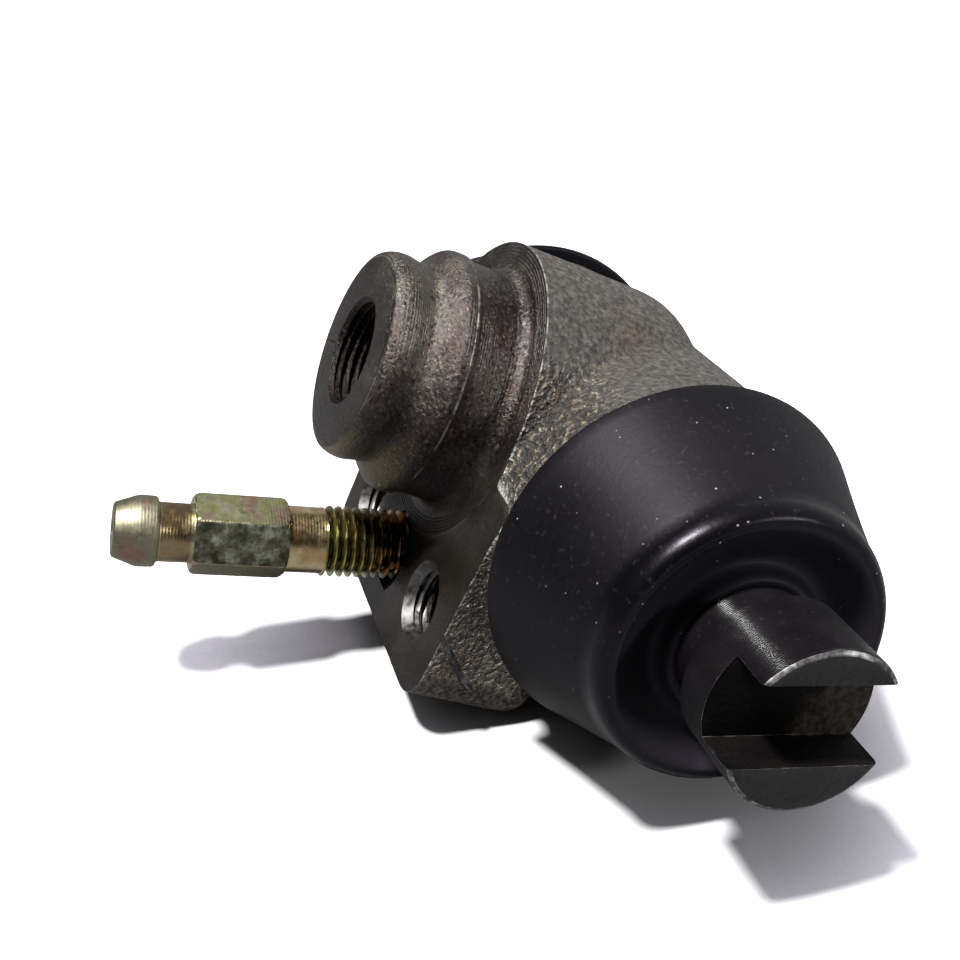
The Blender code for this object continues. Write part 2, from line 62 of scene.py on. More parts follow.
# Sizes of the part, in millimetres
BORE_R = 12.7
SPRING_R, SPRING_WIRE_R, SPRING_TURNS, SPRING_SPAN, SPRING_DEAD_PITCH = 7.0, 0.55, 4, 9.05, 1.3
BARREL_R, BARREL_END_R, BARREL_HALF = 18.23, 18.08, 23.7
GROOVE_R, GROOVE_W, RIB_R, RIB_W = 14.6, 2.9, 15.9, 2.6
NOSE_END = BARREL_HALF + GROOVE_W + RIB_W
PAD_Y, PAD_R, PAD_LENGTH, PAD_ROUND = -18.27, 16.75, 23.8, 8.5
BOSS_Z, BOSS_H = 4.13, 13.77
LUG_TOP_HALF, LUG_FOOT_HALF, LUG_DROP, LUG_THICK = 21.4, 20.2, 24.4, 14.0
LUG_CORNER, LUG_BACK_ROUND = 3.8, 3.0
STOCK = 0.8           # metal that facing takes off the rough casting
CAST_VOXEL = 0.42     # grid on which the rough casting is melted together
SPIGOT_R, SPIGOT_FILLET = 13.0, 1.5
PAD_RINGS, PAD_RING_R, PAD_RING_STEP, PAD_RING_D = 5, 14.85, 0.38, 0.07
BOLT_X, BOLT_Z, BOLT_RIM_R = 12.25, -16.25, 5.37
BLEED_Z, BLEED_TILT = -16.22, math.radians(12.3)
HEX_FLATS, HEX_CORNER_R, HEX_PHASE = 8.0, 4.575, math.radians(45.0)
STEM_R, STEM_START, HEAD_R, TAPPET_END, HEAD_BACK = 6.6, 17.6, 8.04, 51.22, 42.6
SLOT_W, SLOT_D, SLOT_OFF, SLOT_TURN = 8.03, 4.31, 0.75, math.radians(13.75)
EDGE_WEAR = 0.19
BOOT_CREST_AT, BOOT_CREST_R, BOOT_LIP_R = 37.6, 13.15, STEM_R + 0.02
POINT_R = 0.004       # radius of a ring that stands for a point

# Threads: radius at the root, radius at the crest, and pitch
BOLT_THREAD, PORT_THREAD, SCREW_THREAD = (3.4, 3.98, 1.25), (5.42, 6.0, 1.0), (3.28, 3.98, 1.03)
BRIGHT_RINGS = 14     # rings of a bolt hole's mouth that are left bright

ALONG_BORE = Matrix.Translation(CENTRE) @ Matrix.Rotation(math.radians(90), 4, 'Y')


def facing_out(x, z, tilt=0.0):
    """Frame on the pad's face whose Z axis points away from the casting."""
    return (Matrix.Translation(CENTRE + Vector((x, PAD_Y, z)) * MM)
            @ Matrix.Rotation(math.radians(90) + tilt, 4, 'X'))


def end_frame(side):
    """Frame at the bore's middle whose Z axis points out of one end."""
    return Matrix.Translation(CENTRE) @ Matrix.Rotation(math.radians(90 * side), 4, 'Y')


BOSS, BLEED = facing_out(0, BOSS_Z), facing_out(0, BLEED_Z, BLEED_TILT)


# Shader graph helpers
class Graph:
    def __init__(self, name, **shader):
        self.mat = bpy.data.materials.new(name)
        self.mat.use_nodes = True
        self.nodes, self.links = self.mat.node_tree.nodes, self.mat.node_tree.links
        self.shader = self.nodes["Principled BSDF"]
        for key, value in shader.items():
            self.set(key.replace("_", " ").title().replace("Ior", "IOR"), value)
        self.coord = self.nodes.new("ShaderNodeTexCoord").outputs["Object"]

    def set(self, name, value):
        self.put(self.shader.inputs[name], value)

    def put(self, socket, value):
        if isinstance(value, bpy.types.NodeSocket):
            self.links.new(value, socket)
        elif isinstance(value, tuple) and socket.type == 'RGBA':
            socket.default_value = (*value, 1.0)
        else:
            socket.default_value = value

    def noise(self, scale, detail=3.0, rough=0.5):
        n = self.nodes.new("ShaderNodeTexNoise")
        self.put(n.inputs["Vector"], self.coord)
        n.inputs["Scale"].default_value = scale
        n.inputs["Detail"].default_value = detail
        n.inputs["Roughness"].default_value = rough
        return n.outputs["Fac"]

    def cells(self, scale, output="Distance"):
        n = self.nodes.new("ShaderNodeTexVoronoi")
        self.put(n.inputs["Vector"], self.coord)
        n.inputs["Scale"].default_value = scale
        return n.outputs[output]

    def math(self, op, a, b=0.0, clamp=False):
        n = self.nodes.new("ShaderNodeMath")
        n.operation, n.use_clamp = op, clamp
        self.put(n.inputs[0], a)
        self.put(n.inputs[1], b)
        return n.outputs[0]

    def remap(self, value, lo, hi, to_lo=0.0, to_hi=1.0, smooth=False):
        n = self.nodes.new("ShaderNodeMapRange")
        n.interpolation_type = 'SMOOTHSTEP' if smooth else 'LINEAR'
        for i, v in enumerate((value, lo, hi, to_lo, to_hi)):
            self.put(n.inputs[i], v)
        return n.outputs[0]

    def mix(self, fac, a, b):
        n = self.nodes.new("ShaderNodeMix")
        n.data_type = 'RGBA'
        self.put(n.inputs["Factor"], fac)
        self.put(n.inputs[6], a)
        self.put(n.inputs[7], b)
        return n.outputs[2]

    def between(self, value, lo, hi, dark, pale):
        """Colour that goes from dark to pale while the value goes from lo to hi."""
        return self.mix(self.remap(value, lo, hi), dark, pale)

    def ramp(self, value, *stops):
        n = self.nodes.new("ShaderNodeValToRGB")
        self.put(n.inputs[0], value)
        while len(n.color_ramp.elements) < len(stops):
            n.color_ramp.elements.new(0.5)
        for e, (at, colour) in zip(n.color_ramp.elements, stops):
            e.position, e.color = at, (*colour, 1.0)
        return n.outputs[0]

    def axis(self, origin, direction):
        """Distance along an axis, and from it, in metres."""
        sub = self.nodes.new("ShaderNodeVectorMath")
        sub.operation = 'SUBTRACT'
        self.put(sub.inputs[0], self.coord)
        sub.inputs[1].default_value = origin
        dot = self.nodes.new("ShaderNodeVectorMath")
        dot.operation = 'DOT_PRODUCT'
        self.put(dot.inputs[0], sub.outputs[0])
        dot.inputs[1].default_value = direction
        size = self.nodes.new("ShaderNodeVectorMath")
        size.operation = 'LENGTH'
        self.put(size.inputs[0], sub.outputs[0])
        along = dot.outputs["Value"]
        length = size.outputs["Value"]
        square = self.math('SUBTRACT', self.math('MULTIPLY', length, length),
                           self.math('MULTIPLY', along, along))
        return along, self.math('SQRT', self.math('MAXIMUM', square, 0.0))

    def part_of(self, which):
        n = self.nodes.new("ShaderNodeSeparateXYZ")
        self.put(n.inputs[0], self.coord)
        return n.outputs[which]

    def bump(self, height, distance, strength=1.0, under=None):
        n = self.nodes.new("ShaderNodeBump")
        n.inputs["Strength"].default_value = strength
        n.inputs["Distance"].default_value = distance
        self.put(n.inputs["Height"], height)
        if under is not None:
            self.links.new(under, n.inputs["Normal"])
        self.links.new(n.outputs[0], self.shader.inputs["Normal"])
        return n.outputs[0]


def cast_skin():
    g = Graph("cast_skin", metallic=0.35, specular_ior_level=0.8)
    grain = g.noise(1650, 2, 0.5)
    fine = g.noise(3600, 3, 0.6)
    lumps = g.noise(520, 2, 0.5)
    patch = g.noise(80, 3, 0.5)
    sand = g.math('ADD', g.math('MULTIPLY', grain, 0.7), g.math('MULTIPLY', fine, 0.3))
    # Beside the near boot, on the pad's side and low on the lug, the sand is harsher
    near = g.math('MULTIPLY', g.remap(g.part_of(0), 0.004, 0.015, 0.0, 1.0, True),
                  g.remap(g.part_of(1), 0.017, 0.007, 0.0, 1.0, True))
    near = g.math('MULTIPLY', near, g.remap(g.part_of(2), 0.0375, 0.0325, 0.0, 1.0, True))
    calm = g.ramp(sand, (0.34, (0.014, 0.011, 0.010)), (0.46, (0.042, 0.036, 0.032)),
                  (0.56, (0.074, 0.067, 0.058)), (0.66, (0.118, 0.108, 0.088)))
    # The harsh colours: real grain, with painted glints in the pale stops and painted shade in the
    # dark ones
    harsh_with_painted_glints = g.ramp(sand, (0.36, (0.005, 0.004, 0.004)), (0.46, (0.020, 0.016, 0.014)),
                   (0.56, (0.054, 0.045, 0.035)), (0.67, (0.340, 0.290, 0.195)))
    base = g.mix(near, calm, harsh_with_painted_glints)
    # Painted light: low on the lug the casting is made paler, standing in for light on the lug's
    # end
    foot = g.remap(g.part_of(2), CENTRE.z - 0.012, CENTRE.z - 0.016, 0.0, 0.65, True)
    base = g.mix(foot, base, g.between(sand, 0.40, 0.62, (0.030, 0.024, 0.020),
                                       (0.42, 0.36, 0.28)))
    rust = g.remap(patch, 0.52, 0.70, 0.0, 0.5, True)
    base = g.mix(rust, base, g.between(sand, 0.40, 0.62, (0.014, 0.008, 0.006),
                                       (0.105, 0.070, 0.050)))
    edge = g.remap(g.part_of(1), 0.00026, 0.00004, 0.0, 1.0, True)
    edge = g.math('MULTIPLY', edge, g.remap(g.noise(900, 3), 0.40, 0.54, 0.1, 0.9, True))
    base = g.mix(edge, base, (0.40, 0.38, 0.35))
    g.set("Base Color", base)
    g.set("Roughness", g.remap(sand, 0.36, 0.62, 0.72, 0.38))
    rough = g.math('ADD', g.math('MULTIPLY', g.math('MAXIMUM', near, foot), 0.78), 0.22)
    low = g.bump(lumps, 0.00060, 0.5)
    g.bump(g.math('MULTIPLY', sand, rough), 0.00120, 1.0, low)
    return g.mat


def turned_iron(name, origin, direction, pitch=0.00030, depth=0.00003, lines=(), painted_hollow_shade=1.0):
    """Faced and turned iron: fine rings run round one axis. lines are edges rubbed bright, each
    given by its distance along the axis, its radius and its width in millimetres."""
    g = Graph(name, metallic=0.92, specular_ior_level=0.7)
    along, off = g.axis(origin, direction)
    wander = g.math('MULTIPLY', g.noise(200, 2), 0.00012)
    path = g.math('ADD', g.math('ADD', along, off), wander)
    rings = g.math('SINE', g.math('MULTIPLY', path, math.tau / pitch))
    slow = g.math('SINE', g.math('MULTIPLY', path, math.tau / (pitch * 4.3)))
    worn = g.remap(g.noise(230, 3), 0.40, 0.60, 0.15, 1.0, True)
    patch = g.noise(120, 4, 0.6)
    speck = g.noise(2600, 5, 0.65)
    base = g.ramp(patch, (0.34, (0.030, 0.021, 0.021)), (0.5, (0.072, 0.061, 0.056)),
                  (0.66, (0.140, 0.128, 0.108)))
    base = g.mix(g.remap(g.noise(60, 2), 0.50, 0.66, 0.0, 0.5, True), base, (0.024, 0.017, 0.026))
    base = g.mix(g.remap(g.noise(170, 3), 0.54, 0.70, 0.0, 0.55, True), base, (0.055, 0.028, 0.016))
    base = g.mix(g.remap(speck, 0.36, 0.46, 0.8, 0.0, True), base, (0.006, 0.004, 0.004))
    base = g.mix(g.remap(speck, 0.54, 0.66, 0.0, 0.45, True), base, (0.30, 0.26, 0.20))
    broken = g.remap(g.noise(420, 5, 0.65), 0.42, 0.58, 0.03, 0.9, True)
    for h, r, wide in lines:
        dh = g.math('SUBTRACT', along, h * MM)
        dr = g.math('SUBTRACT', off, r * MM)
        far = g.math('SQRT', g.math('ADD', g.math('MULTIPLY', dh, dh), g.math('MULTIPLY', dr, dr)))
        line = g.math('MULTIPLY', g.remap(far, 0.0, wide * MM, 1.0, 0.0, True), broken)
        base = g.mix(line, base, (0.42, 0.39, 0.35))
    # Painted shade: the iron is made darker towards the bottom, from above the bore's middle
    # downwards
    painted_shade_below = g.remap(g.part_of(2), CENTRE.z + 0.0080, CENTRE.z - 0.0030, 0.0, 0.55, True)
    base = g.mix(painted_shade_below, base, (0.008, 0.0055, 0.0055))
    # Painted shade: iron inside the bored hollows is made darker by this share
    if painted_hollow_shade < 1.0:
        base = g.mix(1.0 - painted_hollow_shade, base, (0.002, 0.0015, 0.0015))
    g.set("Base Color", base)
    rough = g.math('ADD', g.math('MULTIPLY', patch, 0.45), g.math('MULTIPLY', speck, 0.55))
    g.set("Roughness", g.remap(rough, 0.40, 0.60, 0.30, 0.48))
    a = g.bump(g.math('MULTIPLY', g.math('ADD', rings, slow), worn), depth, 0.42)
    g.bump(speck, 0.00020, 0.9, a)
    return g.mat


def bright_cut():
    g = Graph("bright_cut", metallic=1.0)
    speck = g.noise(1300, 4)
    g.set("Base Color", g.ramp(speck, (0.3, (0.05, 0.048, 0.046)), (0.6, (0.135, 0.13, 0.125))))
    g.set("Roughness", g.remap(speck, 0.3, 0.7, 0.38, 0.52))
    g.bump(g.noise(900, 2), 0.00005, 0.3)
    return g.mat


def rubber():
    g = Graph("boot_rubber", specular_ior_level=0.40, ior=1.3, specular_tint=(0.94, 0.87, 1.0))
    along, off = g.axis(CENTRE, (1, 0, 0))
    haze = g.noise(55, 4, 0.55)
    grain = g.noise(1700, 5, 0.62)
    base = g.ramp(haze, (0.3, (0.0010, 0.0009, 0.0014)), (0.7, (0.0028, 0.0024, 0.0034)))
    near = g.remap(g.noise(85, 2), 0.42, 0.60, 0.25, 1.0, True)
    dust = 0.0
    for scale, least, wide in ((1250, 0.80, 0.17), (430, 0.88, 0.09)):
        pick = g.remap(g.cells(scale, "Color"), least, least + 0.01)
        spot = g.remap(g.cells(scale), 0.3 * wide, wide, 1.0, 0.0, True)
        dust = g.math('ADD', dust, g.math('MULTIPLY', g.math('MULTIPLY', spot, pick), near), True)
    haze_in = g.math('MULTIPLY', g.remap(off, 0.0136, 0.0126, 0.0, 0.9, True),
                     g.remap(g.math('ABSOLUTE', along), 0.0340, 0.0345))
    base = g.mix(haze_in, base, (0.0150, 0.0135, 0.0180))
    base = g.mix(g.remap(grain, 0.58, 0.72, 0.0, 0.4, True), base, (0.030, 0.028, 0.033))
    base = g.mix(g.math('MULTIPLY', dust, 0.85), base, (0.34, 0.31, 0.32))
    g.set("Base Color", base)
    sheen = g.remap(g.math('ADD', haze, g.math('MULTIPLY', grain, 0.3)), 0.45, 0.85, 0.26, 0.40)
    cone = g.remap(g.math('ABSOLUTE', along), 0.0378, 0.0360, 0.0, 0.20, True)
    hollow = g.remap(off, 0.0129, 0.0122, 0.0, 0.25, True)
    g.set("Roughness", g.math('ADD', sheen, g.math('MAXIMUM', cone, hollow)))
    soft = g.bump(haze, 0.0004, 0.20)
    g.bump(g.math('ADD', grain, g.math('MULTIPLY', dust, 2.0)), 0.00006, 0.35, soft)
    return g.mat


def black_steel(name, low, high, rough, shine, lines=False, lit_slot_end=False):
    """Blackened steel. Turned steel carries lines; a milled slot's floor gets a painted pool of
    light at one end.
    """
    g = Graph(name, metallic=0.1, specular_ior_level=shine)
    patch = g.noise(150, 4)
    speck = g.noise(1500, 5, 0.62)
    base = g.ramp(patch, (0.35, low), (0.65, high))
    base = g.mix(g.remap(speck, 0.60, 0.72, 0.0, 0.3, True), base, tuple(4 * c for c in high))
    if lit_slot_end:
        # Painted light: a pale patch on the slot floor's +Y end stands in for light falling there
        floor = g.remap(g.math('ABSOLUTE', g.part_of(0)), 0.0472, 0.0470)
        end = g.math('ADD', g.part_of(1), g.math('MULTIPLY', g.noise(420, 4, 0.6), 0.006))
        painted_light_end = g.math('MULTIPLY', floor, g.remap(end, CENTRE.y + 0.0035, CENTRE.y + 0.0065,
                                                  0.0, 0.9, True))
        base = g.mix(painted_light_end, base, g.between(speck, 0.4, 0.6, (0.018, 0.015, 0.012),
                                            (0.062, 0.055, 0.046)))
    g.set("Base Color", base)
    g.set("Roughness", g.remap(speck, 0.3, 0.75, rough, rough + 0.10))
    if lines:
        path = g.math('ADD', g.part_of(0), g.math('MULTIPLY', g.noise(300, 2), 0.00006))
        rings = g.math('SINE', g.math('MULTIPLY', path, math.tau / 0.00022))
        ridges = g.bump(rings, 0.00003, 0.85)
        g.bump(speck, 0.00004, 0.25, ridges)
    else:
        g.bump(speck, 0.00020, 0.8)
    return g.mat


def worn_edge():
    g = Graph("worn_edge", metallic=0.35)
    chips = g.noise(850, 4, 0.6)
    g.set("Base Color", g.ramp(chips, (0.38, (0.022, 0.019, 0.021)), (0.51, (0.10, 0.096, 0.10)),
                               (0.66, (0.40, 0.39, 0.39))))
    g.set("Roughness", g.remap(chips, 0.3, 0.7, 0.55, 0.34))
    g.bump(chips, 0.00016, 0.8)
    return g.mat


def zinc(name, tarnish=0.0):
    """Yellow-passivated zinc: gold, green and rose films that wander along the screw."""
    g = Graph(name, metallic=1.0)
    along, off = g.axis(BLEED.translation, BLEED.to_3x3() @ Vector((0, 0, 1)))

    def band(middle, half, most, soft=0.5):
        """Mask for a stretch of the screw, in millimetres from the pad."""
        away = g.math('ABSOLUTE', g.math('SUBTRACT', along, middle * MM))
        return g.remap(away, half * MM, (half + soft) * MM, most, 0.0, True)
    film = g.noise(300, 4, 0.6)
    shift = g.math('ADD', film, g.math('MULTIPLY', g.math('SUBTRACT', g.noise(120, 2), 0.5), 0.45))
    base = g.ramp(shift, (0.34, (0.36, 0.23, 0.16)), (0.42, (0.44, 0.35, 0.24)),
                  (0.49, (0.43, 0.40, 0.26)), (0.56, (0.36, 0.38, 0.16)),
                  (0.66, (0.45, 0.42, 0.30)))
    base = g.mix(g.remap(along, 0.0264, 0.0270, 0.0, 0.85, True), base, (0.19, 0.172, 0.130))
    blush = g.math('MULTIPLY', g.remap(g.noise(420, 3), 0.56, 0.64, 0.0, 0.5, True),
                   band(29.0, 1.3, 1.0))
    base = g.mix(blush, base, (0.26, 0.11, 0.09))
    base = g.mix(band(24.9, 1.4, 0.8), base,
                 g.between(film, 0.4, 0.6, (0.095, 0.040, 0.018), (0.24, 0.150, 0.088)))
    base = g.mix(band(10.8, 1.9, 0.75), base,
                 g.between(film, 0.4, 0.6, (0.42, 0.25, 0.10), (0.62, 0.50, 0.31)))
    base = g.mix(band(5.9, 2.5, 0.8), base,
                 g.between(film, 0.4, 0.6, (0.32, 0.24, 0.06), (0.46, 0.46, 0.17)))
    root = g.remap(off, 0.0037, 0.0034, 0.0, 0.85, True)
    root = g.math('MULTIPLY', root, g.remap(along, 0.0086, 0.0084))
    base = g.mix(root, base, (0.035, 0.022, 0.008))
    deep = g.remap(along, 0.0036, 0.0022, 0.0, 0.92, True)
    base = g.mix(deep, base, g.between(g.noise(520, 3), 0.44, 0.56, (0.030, 0.016, 0.007),
                                       (0.74, 0.43, 0.13)))
    grime = g.remap(g.noise(620, 4, 0.65), 0.56, 0.70, 0.0, 0.45, True)
    base = g.mix(grime, base, (0.10, 0.080, 0.050))
    if tarnish:
        mottle = g.noise(620, 5, 0.7)
        dull = g.ramp(mottle, (0.36, (0.022, 0.022, 0.014)), (0.48, (0.085, 0.085, 0.062)),
                      (0.56, (0.17, 0.175, 0.135)), (0.66, (0.34, 0.34, 0.28)))
        base = g.mix(tarnish, base, dull)
    g.set("Base Color", base)
    fine = g.noise(1500, 3)
    rough = g.remap(fine, 0.3, 0.7, 0.26 + 0.2 * tarnish, 0.40 + 0.2 * tarnish)
    g.set("Roughness", g.math('ADD', rough, g.remap(along, 0.0262, 0.0268, 0.0, 0.16, True)))
    rings = g.math('SINE', g.math('MULTIPLY', along, math.tau / 0.00034))
    low = g.bump(rings, 0.00002, 0.22 * (1 - tarnish))
    g.bump(fine, 0.00007, 0.45, low)
    return g.mat


def plain_metal(name, colour, rough):
    g = Graph(name, metallic=1.0)
    speck = g.noise(1200, 3)
    g.set("Base Color", g.mix(g.remap(speck, 0.3, 0.7), tuple(c * 0.7 for c in colour), colour))
    g.set("Roughness", g.remap(speck, 0.3, 0.7, rough, rough + 0.15))
    path = g.math('SINE', g.math('MULTIPLY', g.part_of(0), math.tau / 0.0003))
    g.bump(path, 0.00002, 0.3)
    return g.mat


CAST = cast_skin()
FACED = turned_iron("faced_iron", BOSS.translation, (0, -1, 0), lines=(
    (13.66, 10.33, 0.16), (5.9, 13.4, 0.20), (0, 16.72, 0.14)))
# The bored hollows get painted shade
BORED = turned_iron("bored_iron", CENTRE, (1, 0, 0), 0.0003, 0.00002, painted_hollow_shade=0.45)
BRIGHT = bright_cut()
RUBBER = rubber()
STEEL = black_steel("black_steel", (0.004, 0.0033, 0.0040), (0.010, 0.0086, 0.0098), 0.15, 0.16,
                    lines=True)
STEEL_END = black_steel("black_steel_faced", (0.009, 0.0075, 0.0083), (0.020, 0.0175, 0.0185),
                        0.42, 0.3)
# The milled slot's steel is painted near black, as painted shade inside the slot
STEEL_SLOT_SHADE_AND_LIGHT = black_steel("black_steel_slot_painted_shade_and_light", (0.0015, 0.0012, 0.0012), (0.004, 0.0034, 0.0030),
                        0.5, 0.06, lit_slot_end=True)
WORN = worn_edge()
ZINC = zinc("zinc_passivate")
ZINC_DULL = zinc("zinc_tarnished", 0.95)
ZINC_GREY = zinc("zinc_greyed", 0.30)
PISTON = plain_metal("piston_alloy", (0.60, 0.61, 0.62), 0.25)
SPRING = plain_metal("spring_steel", (0.36, 0.35, 0.34), 0.30)


# Mesh helpers: profiles are (distance along Z, radius) in millimetres
def new_object(name, bm_or_mesh, mats=()):
    if isinstance(bm_or_mesh, bmesh.types.BMesh):
        mesh = bpy.data.meshes.new(name)
        bm_or_mesh.to_mesh(mesh)
        bm_or_mesh.free()
    else:
        mesh = bm_or_mesh
    for m in mats:
        mesh.materials.append(m)
    ob = bpy.data.objects.new(name, mesh)
    bpy.context.scene.collection.objects.link(ob)
    return ob


def rings_mesh(name, rings, place, mats=(), tag=None, closed=False):
    """Skin a stack of rings of points; ends are capped unless the stack closes on itself."""
    bm = bmesh.new()
    loops = [[bm.verts.new(place @ (Vector(p) * MM)) for p in ring] for ring in rings]
    pairs = list(zip(loops, loops[1:]))
    if closed:
        pairs.append((loops[-1], loops[0]))
    n = len(loops[0])
    for k, (low, high) in enumerate(pairs):
        for i in range(n):
            j = (i + 1) % n
            face = bm.faces.new((low[i], low[j], high[j], high[i]))
            face.smooth = True
            if tag is not None:
                face.material_index = tag(k, i)
    if not closed:
        bm.faces.new(loops[0])
        bm.faces.new(loops[-1])
    bmesh.ops.recalc_face_normals(bm, faces=bm.faces)
    return new_object(name, bm, mats)


def circle(h, r, sides):
    """One ring; r is a radius or a function of the angle."""
    out = []
    for i in range(sides):
        a = math.tau * i / sides
        radius = r(a) if callable(r) else r
        out.append((radius * math.cos(a), radius * math.sin(a), h))
    return out


def lathe(name, profile, place, sides=128, mats=(), closed=False, tag=None):
    rings = [circle(h, max(r, POINT_R), sides) for h, r in profile]
    return rings_mesh(name, rings, place, mats, tag, closed)


def arc(h, r, radius, start, end, steps):
    return [(h + radius * math.cos(math.radians(start + (end - start) * i / steps)),
             r + radius * math.sin(math.radians(start + (end - start) * i / steps)))
            for i in range(steps + 1)]


def thread(h0, h1, root, crest, pitch):
    """Rings of a screw thread between two distances."""
    rings = []
    steps = max(2, int(abs(h1 - h0) / pitch * 8))
    for k in range(steps + 1):
        h = h0 + (h1 - h0) * k / steps

        def radius(a, h=h):
            t = (h / pitch - a / math.tau) % 1.0
            wave = min(1.0, max(0.0, 1.5 * (1 - abs(2 * t - 1)) - 0.25))
            return root + (crest - root) * wave
        rings.append((h, radius))
    return rings


def applied(ob):
    graph = bpy.context.evaluated_depsgraph_get()
    mesh = bpy.data.meshes.new_from_object(ob.evaluated_get(graph))
    ob.modifiers.clear()
    ob.data = mesh
    return ob


def cut(ob, tools, operation='DIFFERENCE'):
    for tool in tools:
        mod = ob.modifiers.new("cut", 'BOOLEAN')
        mod.operation, mod.solver, mod.object = operation, 'EXACT', tool
        mod.material_mode = 'TRANSFER'
    applied(ob)
    for tool in tools:
        bpy.data.objects.remove(tool)


def smooth(ob, angle=32):
    ob.data.shade_smooth()
    ob.data.set_sharp_from_angle(angle=math.radians(angle))


# Cylinder body: the rough casting is melted together, then faced, bored and threaded
def casting():
    raw = []
    raw.append(lathe("raw_barrel", [
        (-BARREL_HALF - 1.2, 0), (-BARREL_HALF - 1.2, BARREL_END_R), (0, BARREL_R),
        (BARREL_HALF + 1.2, BARREL_END_R), (BARREL_HALF + 1.2, 0)], ALONG_BORE, 160))
    for s in (-1, 1):
        raw.append(lathe("raw_nose", [
            (s * BARREL_HALF, 0), (s * BARREL_HALF, RIB_R + 0.5),
            (s * (NOSE_END + 0.5), RIB_R + 0.5), (s * (NOSE_END + 0.5), 0)], ALONG_BORE, 96))
    pad = [(BOSS_H + STOCK, 0), (BOSS_H + STOCK, PAD_R)]
    pad += arc(-PAD_LENGTH + PAD_ROUND, PAD_R - PAD_ROUND, PAD_ROUND, 90, 180, 12)
    pad += [(-PAD_LENGTH, 0)]
    raw.append(lathe("raw_pad", pad, BOSS, 160))

    lug = bmesh.new()
    bmesh.ops.create_cube(lug, size=1.0)
    z1, y0, y1 = -0.4, PAD_Y - STOCK, PAD_Y + LUG_THICK
    for v in lug.verts:
        half = LUG_TOP_HALF if v.co.z > 0 else LUG_FOOT_HALF
        v.co = CENTRE + Vector((math.copysign(half, v.co.x), y1 if v.co.y > 0 else y0,
                                z1 if v.co.z > 0 else -LUG_DROP)) * MM

    def at(edge, axis, value):
        return all(abs(v.co[axis] - CENTRE[axis] - value * MM) < 1e-6 for v in edge.verts)
    foot = [e for e in lug.edges if at(e, 2, -LUG_DROP) and e.verts[0].co.x == e.verts[1].co.x]
    bmesh.ops.bevel(lug, geom=foot, offset=LUG_CORNER * MM, offset_type='OFFSET', segments=8,
                    profile=0.5, affect='EDGES', clamp_overlap=False)
    back = [e for e in lug.edges if at(e, 1, y1) and not at(e, 2, z1)]
    bmesh.ops.bevel(lug, geom=back, offset=LUG_BACK_ROUND * MM, offset_type='OFFSET', segments=6,
                    profile=0.5, affect='EDGES', clamp_overlap=False)
    raw.append(new_object("raw_lug", lug))

    body = raw[0]
    with bpy.context.temp_override(active_object=body, object=body, selected_objects=raw,
                                   selected_editable_objects=raw):
        bpy.ops.object.join()
    mod = body.modifiers.new("melt", 'REMESH')
    mod.mode, mod.voxel_size, mod.use_smooth_shade = 'VOXEL', CAST_VOXEL * MM, True
    soften = body.modifiers.new("soften", 'SMOOTH')
    soften.factor, soften.iterations = 0.6, 10
    applied(body)
    body.data.materials.clear()
    body.data.materials.append(CAST)

    # Flash left by the mould on the lug's end
    path = [(-19.4, -15.0), (-18.5, -15.5), (-17.7, -16.0), (-16.7, -17.1), (-15.8, -18.15),
            (-14.9, -18.9), (-13.8, -19.7), (-12.9, -20.5), (-12.2, -21.1)]
    rings, last = [], len(path) - 1
    for k, (y, z) in enumerate(path):
        ahead = Vector(path[min(k + 1, last)]) - Vector(path[max(k - 1, 0)])
        side = LUG_FOOT_HALF + (LUG_TOP_HALF - LUG_FOOT_HALF) * (z + LUG_DROP) / LUG_DROP
        wide = 0.34 * (1 + 0.25 * math.sin(2.3 * k)) * (0.3 if k in (0, last) else 1)
        tall = 0.42 * (1 + 0.3 * math.sin(1.7 * k + 1)) * (0.1 if k in (0, last) else 1)
        across = Vector((-ahead.y, ahead.x)).normalized() * wide
        one, other = (y - across.x, z - across.y), (y + across.x, z + across.y)
        rings.append([(side - 0.7, *one), (side - 0.7, *other), (side + 0.02, *other),
                      (side + tall, y, z), (side + 0.02, *one)])
    flash = rings_mesh("raw_flash", rings, Matrix.Translation(CENTRE), (CAST, WORN),
                       lambda k, i: 1 if i in (2, 3) and 1 <= k < last - 1 else 0)
    cut(body, [flash], 'UNION')

    # Facing tool with the boss's outline and the turned rings on the pad
    outline = [(BOSS_H, 0), (BOSS_H, 10.05), (BOSS_H - 0.12, 10.35)]
    outline += [(BOSS_H - 2.17 * (1 - math.cos(math.radians(a))),
                 10.25 + 1.05 * math.sin(math.radians(a))) for a in range(18, 91, 9)]
    outline += [(11.2, 11.26), (10.6, 11.14), (10.1, 11.05), (9.6, 11.02)]
    outline += [(9.6 - 3.0 * t / 12, 11.02 + 2.38 * (1 - math.cos(math.pi * t / 12)) / 2)
                for t in range(1, 13)]
    outline += [(6.2, 13.42), (5.62, 13.4), (5.5, 13.28), (5.45, 13.04), (4.0, SPIGOT_R)]
    outline += arc(SPIGOT_FILLET, SPIGOT_R + SPIGOT_FILLET, SPIGOT_FILLET, 270, 180, 8)
    for k in range(PAD_RINGS):
        r = PAD_RING_R + PAD_RING_STEP * k
        outline += [(0, r - 0.1), (-PAD_RING_D, r), (0, r + 0.1)]
    outline += [(0, 40), (BOSS_H + 2, 40), (BOSS_H + 2, 0)]
    tools = [lathe("tool_facing", outline, BOSS, 192, (FACED,))]

